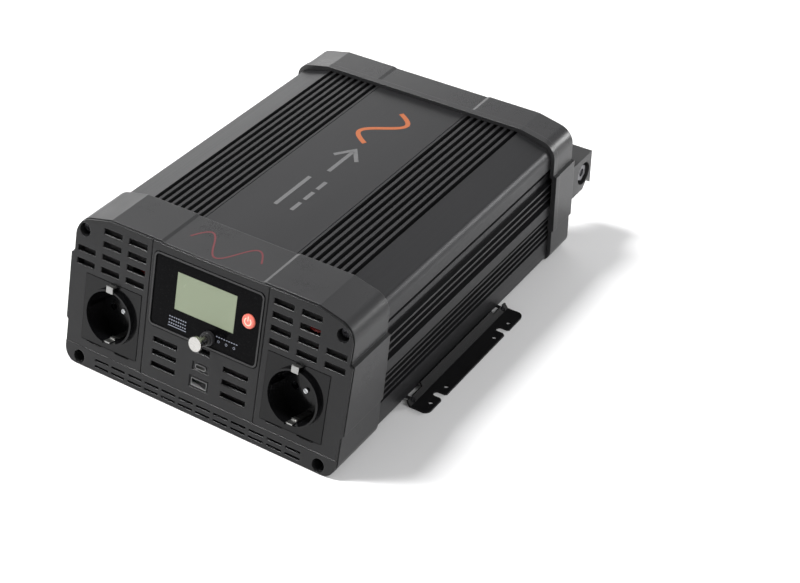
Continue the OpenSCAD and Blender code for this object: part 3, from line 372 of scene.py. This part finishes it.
M = {
    "housing": anodised("anodised_housing", (0.026, 0.026, 0.0275)),
    "cap": plastic("cap_plastic", (0.025, 0.025, 0.026), 0.3, shine=0.36, soft=0.0006),
    # The front panel is the same plastic as the caps; its darker base colour is painted shade.
    "panel": plastic("panel_plastic_painted_shade", (0.011, 0.011, 0.0115), 0.2, 0.2, shine=0.26, soft=0.0007),
    "bezel": plastic("bezel_plastic", (0.009, 0.009, 0.0095), 0.16, 0.08),
    "black": plastic("black_plastic", (0.016, 0.016, 0.017), 0.42, 0.25),
    "terminal_black": plastic("terminal_plastic", (0.018, 0.018, 0.019), 0.42, 0.3),
    "red": plastic("red_plastic", (0.40, 0.018, 0.014), 0.38, 0.2, 1.3),
    "white": plastic("white_plastic", (0.75, 0.75, 0.70), 0.5, 0.2, 1.1),
    "socket": gloss("socket_gloss", (0.003, 0.003, 0.0034), 0.14, shine=0.24),
    "lens": gloss("lens_gloss", (0.002, 0.002, 0.0024), 0.08, 0.02, shine=0.04),
    "lcd": lcd("lcd_glass"),
    "button": lit_plastic("button_plastic", (0.70, 0.15, 0.11), (1.0, 0.3, 0.22)),
    "bracket": coated("bracket_coat", (0.006, 0.006, 0.0065)),
    "black_screw": metal("black_screw", (0.045, 0.045, 0.05), 0.34, metallic=0.8),
    "zinc": metal("zinc_steel", (0.55, 0.56, 0.57), 0.3),
    "dark_steel": metal("dark_steel", (0.16, 0.16, 0.17), 0.32),
    "nickel": metal("nickel_plate", (0.52, 0.51, 0.49), 0.24, wear=0.12),
    "clip": metal("clip_plate", (0.36, 0.36, 0.35), 0.34, wear=0.2),
    "shell": metal("port_shell", (0.34, 0.34, 0.34), 0.36),
    "cream": ink("ink_cream", (0.85, 0.74, 0.58)),
    "baffle": plastic("baffle_plastic", (0.030, 0.030, 0.031), 0.5),
    "brass": metal("brass", (0.72, 0.52, 0.22), 0.28),
    "copper": metal("copper_bar", (0.72, 0.36, 0.20), 0.32, (1, 0.05, 1)),
    "sheet": metal("mill_sheet", (0.52, 0.53, 0.54), 0.36, (1, 0.02, 1)),
    "heatsink": metal("heatsink_metal", (0.60, 0.60, 0.61), 0.38, (1, 0.02, 1)),
    "ferrite": plastic("ferrite", (0.06, 0.06, 0.065), 0.55, 0.6, 1.4, 900),
    "tape": wound("yellow_tape", (0.72, 0.50, 0.06), 0.0016),
    "choke": plastic("choke_coat", (0.55, 0.47, 0.06), 0.4, 0.5, 1.2, 600),
    "wire": wound("enamel_wire", (0.62, 0.26, 0.10), 0.0009),
    "sleeve": gloss("capacitor_sleeve", (0.016, 0.025, 0.11), 0.25),
    "board": circuit("circuit_board"),
    "ink_grey": ink("ink_grey", (0.105, 0.105, 0.107)),
    "ink_orange": ink("ink_orange", (0.34, 0.085, 0.02)),
    "ink_red": ink("ink_red", (0.105, 0.009, 0.014)),
    "ink_pale": ink("ink_pale", (0.26, 0.28, 0.34)),
}

LOOK = {
    "housing": "housing", "base_plate": "sheet", "base_screws": "black_screw", "front_panel": "panel",
    "front_cap": "cap", "rear_cap": "cap", "front_screws": "black_screw", "rear_screws": "black_screw",
    "bracket_left": "bracket", "bracket_right": "bracket", "bracket_screws": "black_screw",
    "display_bezel": "bezel", "display_lens": "lens", "lcd_glass": "lcd", "lcd_holder": "white",
    "display_board": "board", "display_screws": "zinc", "power_button": "button", "button_switch": "black",
    "earth_knob": "nickel", "earth_post": "brass", "earth_collar": "black",
    "socket_left": "socket", "socket_right": "socket", "earth_clips": "clip", "socket_screws": "zinc",
    "vent_baffles": "baffle",
    "socket_contacts": "dark_steel", "usb_module": "black", "usb_shells": "shell", "usb_tongues": "white",
    "remote_jack": "black", "fan_frame_left": "black", "fan_frame_right": "black", "fan_rotor_left": "black",
    "fan_rotor_right": "black", "fan_screws": "black_screw", "terminal_positive": "red",
    "terminal_negative": "terminal_black", "busbars": "copper", "terminal_bolts": "dark_steel",
    "terminal_washers": "zinc", "terminal_nuts": "zinc", "earth_screw": "zinc", "main_board": "board",
    "board_standoffs": "brass", "board_screws": "zinc", "heatsinks": "heatsink", "power_transistors": "black",
    "clamp_bars": "zinc", "transformer_cores": "ferrite", "transformer_windings": "tape",
    "choke_core": "choke", "choke_winding": "wire", "bulk_capacitors": "sleeve", "fuse_holders": "black",
    "blade_fuses": "red", "control_board": "board", "live_leads": "red", "neutral_leads": "black",
}


# ---------------------------------------------------------------- edges of the CAD pieces
def shading_group(degrees):
    """Smooth shading with edges sharper than the angle kept sharp."""
    group = bpy.data.node_groups.new("smooth_by_angle", "GeometryNodeTree")
    group.interface.new_socket("Geometry", in_out="INPUT", socket_type="NodeSocketGeometry")
    group.interface.new_socket("Geometry", in_out="OUTPUT", socket_type="NodeSocketGeometry")
    start = group.nodes.new("NodeGroupInput")
    end = group.nodes.new("NodeGroupOutput")
    faces = group.nodes.new("GeometryNodeSetShadeSmooth")
    faces.domain = "FACE"
    edges = group.nodes.new("GeometryNodeSetShadeSmooth")
    edges.domain = "EDGE"
    edges.inputs["Shade Smooth"].default_value = False
    angle = group.nodes.new("GeometryNodeInputMeshEdgeAngle")
    sharp = group.nodes.new("FunctionNodeCompare")
    sharp.data_type = "FLOAT"
    sharp.operation = "GREATER_THAN"
    sharp.inputs["B"].default_value = math.radians(degrees)
    link = group.links.new
    link(start.outputs[0], faces.inputs["Geometry"])
    link(faces.outputs[0], edges.inputs["Geometry"])
    link(angle.outputs["Unsigned Angle"], sharp.inputs["A"])
    link(sharp.outputs[0], edges.inputs["Selection"])
    link(edges.outputs[0], end.inputs[0])
    return group


SHADING = shading_group(32)
CRISP = shading_group(11.5)     # keeps the shallow facets of the caps apart


def finish_edges(obj, width, group):
    """Rounds the edges by a width in millimetres, or only smooths the shading where it is 0."""
    weld = obj.modifiers.new("weld", "WELD")
    weld.merge_threshold = 0.000002
    if width:
        flat = obj.modifiers.new("flat", "DECIMATE")
        flat.decimate_type = "DISSOLVE"
        flat.angle_limit = math.radians(0.3)
        bevel = obj.modifiers.new("bevel", "BEVEL")
        bevel.width = width * MM
        bevel.segments = 2
        bevel.limit_method = "ANGLE"
        bevel.angle_limit = math.radians(35)
        bevel.use_clamp_overlap = True
        bevel.miter_outer = "MITER_ARC"
    smooth = obj.modifiers.new("smooth", "NODES")
    smooth.node_group = group
    if width:
        obj.modifiers.new("normals", "WEIGHTED_NORMAL").keep_sharp = True


# Widths of the rounded edges in millimetres; the large mouldings are left out, for their triangles.
BEVEL = {
    "housing": 0.35, "bracket_left": 0.3, "bracket_right": 0.3,
    "display_bezel": 0.3, "display_lens": 0.2, "power_button": 0.35, "earth_knob": 0.35, "earth_collar": 0.4,
    "socket_left": 0.35, "socket_right": 0.35, "earth_clips": 0.15, "socket_screws": 0.2,
    "usb_shells": 0.1, "usb_tongues": 0.15, "terminal_positive": 0.5, "terminal_negative": 0.5,
    "terminal_bolts": 0.4, "terminal_washers": 0.2, "fan_frame_left": 0.4, "fan_frame_right": 0.4,
    "fan_rotor_left": 0.3, "fan_rotor_right": 0.3, "front_screws": 0.25, "rear_screws": 0.25,
    "fan_screws": 0.3, "earth_screw": 0.3, "bracket_screws": 0.2,
}

for name, obj in NODES.items():
    obj.data.materials.clear()
    obj.data.materials.append(M[LOOK[name]])
    finish_edges(obj, BEVEL.get(name, 0), CRISP if name in ("front_cap", "rear_cap") else SHADING)


# ---------------------------------------------------------------- printed marks
INK_THICKNESS = 0.05      # all sizes of the marks are in millimetres


def stroke_sides(points, width, closed):
    """The two edges of a stroke of even width, as (left, right) pairs, mitred at its corners."""
    n = len(points)
    pts = [Vector(p) for p in points]
    pairs = []
    for i, p in enumerate(pts):
        before = pts[i - 1] if closed or i else None
        after = pts[(i + 1) % n] if closed or i < n - 1 else None
        d1 = (p - before).normalized() if before is not None else None
        d2 = (after - p).normalized() if after is not None else None
        d = ((d1 or d2) + (d2 or d1)).normalized()
        side = Vector((-d.y, d.x))
        k = 1.0
        if d1 is not None and d2 is not None:
            k = 1.0 / max(0.4, side.dot(Vector((-d1.y, d1.x))))
        pairs.append((p + side * width / 2 * k, p - side * width / 2 * k))
    return pairs


def ribbon(name, lines, material, body, place):
    """Flat printed strokes: each line is (points, width, closed), laid on a surface by place(u, v, h)."""
    bm = bmesh.new()
    for points, width, closed in lines:
        n = len(points)
        sides = stroke_sides(points, width, closed)
        low, top = [[tuple(bm.verts.new(place(q.x, q.y, h)) for q in pair) for pair in sides]
                    for h in (0.0, INK_THICKNESS)]
        last = n if closed else n - 1
        for i in range(last):
            j = (i + 1) % n
            bm.faces.new((top[i][0], top[i][1], top[j][1], top[j][0]))
            bm.faces.new((low[i][0], low[j][0], low[j][1], low[i][1]))
            bm.faces.new((top[i][0], top[j][0], low[j][0], low[i][0]))
            bm.faces.new((top[i][1], low[i][1], low[j][1], top[j][1]))
        if not closed:
            bm.faces.new((top[0][0], low[0][0], low[0][1], top[0][1]))
            bm.faces.new((top[-1][0], top[-1][1], low[-1][1], low[-1][0]))
    bmesh.ops.recalc_face_normals(bm, faces=bm.faces)
    mesh = bpy.data.meshes.new(name)
    bm.to_mesh(mesh)
    bm.free()
    obj = bpy.data.objects.new(name, mesh)
    obj.data.materials.append(material)
    bpy.context.scene.collection.objects.link(obj)
    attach(obj, body)


def sine(u0, u1, v, height, turns, n=48):
    """A wave along u."""
    return [(u0 + (u1 - u0) * i / n, v + height * math.sin(2 * math.pi * (turns * i / n)))
            for i in range(n + 1)]


def arc(cx, cy, r, a0, a1, n=32):
    """An arc between two angles in degrees."""
    angles = [math.radians(a0 + (a1 - a0) * i / n) for i in range(n + 1)]
    return [(cx + r * math.cos(a), cy + r * math.sin(a)) for a in angles]


def dash_row(start, v, count, pitch, length, width):
    """A row of short dashes along u."""
    return [([(start + pitch * i, v), (start + length + pitch * i, v)], width, False) for i in range(count)]


# The printed surfaces: two levels above the ground, two distances in front of the panel.
CAP_TOP = on_top(110.2)
PLATE = on_top(108.0)
BUTTON_FACE = panel_at(0.9)
LENS_FACE = panel_at(-0.3)


def cap_wave():
    """A red wave across the top of the front cap."""
    line = sine(-31.5, 28.5, 48.8, 11.2, 1.5)
    ribbon("cap_wave", [(line, 1.3, False)], M["ink_red"], "case", CAP_TOP)


def plate_marks():
    """A plain pictogram on the centre plate: direct current in, alternating current out."""
    stroke, bar_start, bar_end = 3.2, 114, 156
    dash, pitch = 11, 15.5
    whole_bar = [(-9, bar_start), (-9, bar_end)]
    broken_bar = [[(5, bar_start + pitch * i), (5, bar_start + dash + pitch * i)] for i in range(3)]
    arrow = [[(-2, 169), (-2, 200)], [(8, 190), (-2, 203), (-12, 190)]]
    lines = [(points, stroke, False) for points in [whole_bar] + broken_bar + arrow]
    ribbon("plate_mark_grey", lines, M["ink_grey"], "case", PLATE)
    steps = 48
    turn = [(-2 - 13 * math.sin(2 * math.pi * i / steps), 215 + 50 * i / steps) for i in range(steps + 1)]
    ribbon("plate_mark_orange", [(turn, 3.6, False)], M["ink_orange"], "case", PLATE)


def button_sign():
    """A power sign: an open ring with a bar through its gap."""
    x, v = 35.7, 85.3
    ring = arc(x, v, 2.6, 125, 415)
    upright = [(x, v + 0.3), (x, v + 3.8)]
    ribbon("button_sign", [(ring, 0.85, False), (upright, 0.7, False)], M["cream"], "button", BUTTON_FACE)


def display_marks():
    """Marks under the display: three lamp rings below a row of dashes, and a block of dashes on a rule."""
    lamps = [(arc(x, 61.8, 0.8, 0, 330, 11), 0.3, True) for x in (13.5, 20.0, 26.5)]
    lamps += dash_row(11.0, 65.0, 9, 2.1, 1.3, 0.55)
    ribbon("lamp_marks", lamps, M["ink_pale"], "case", LENS_FACE)
    block = []
    for v in (65.6, 63.2, 60.8):
        block += dash_row(-29.4, v, 8, 1.95, 1.1, 0.8)
    block.append(([(-29.8, 58.8), (-14.0, 58.8)], 0.5, False))
    ribbon("table_marks", block, M["ink_pale"], "case", LENS_FACE)


cap_wave()
plate_marks()
button_sign()
display_marks()

# ---------------------------------------------------------------- floor
bpy.ops.mesh.primitive_plane_add(size=12)
floor = bpy.context.object
floor.name = "floor"
floor_paint = Mat("floor", (0.90, 0.90, 0.905), 0.6)
floor_paint.tint(floor_paint.ranged(floor_paint.noise(3), 0.0, 0.08), (0.87, 0.87, 0.875))
floor.data.materials.append(floor_paint.m)
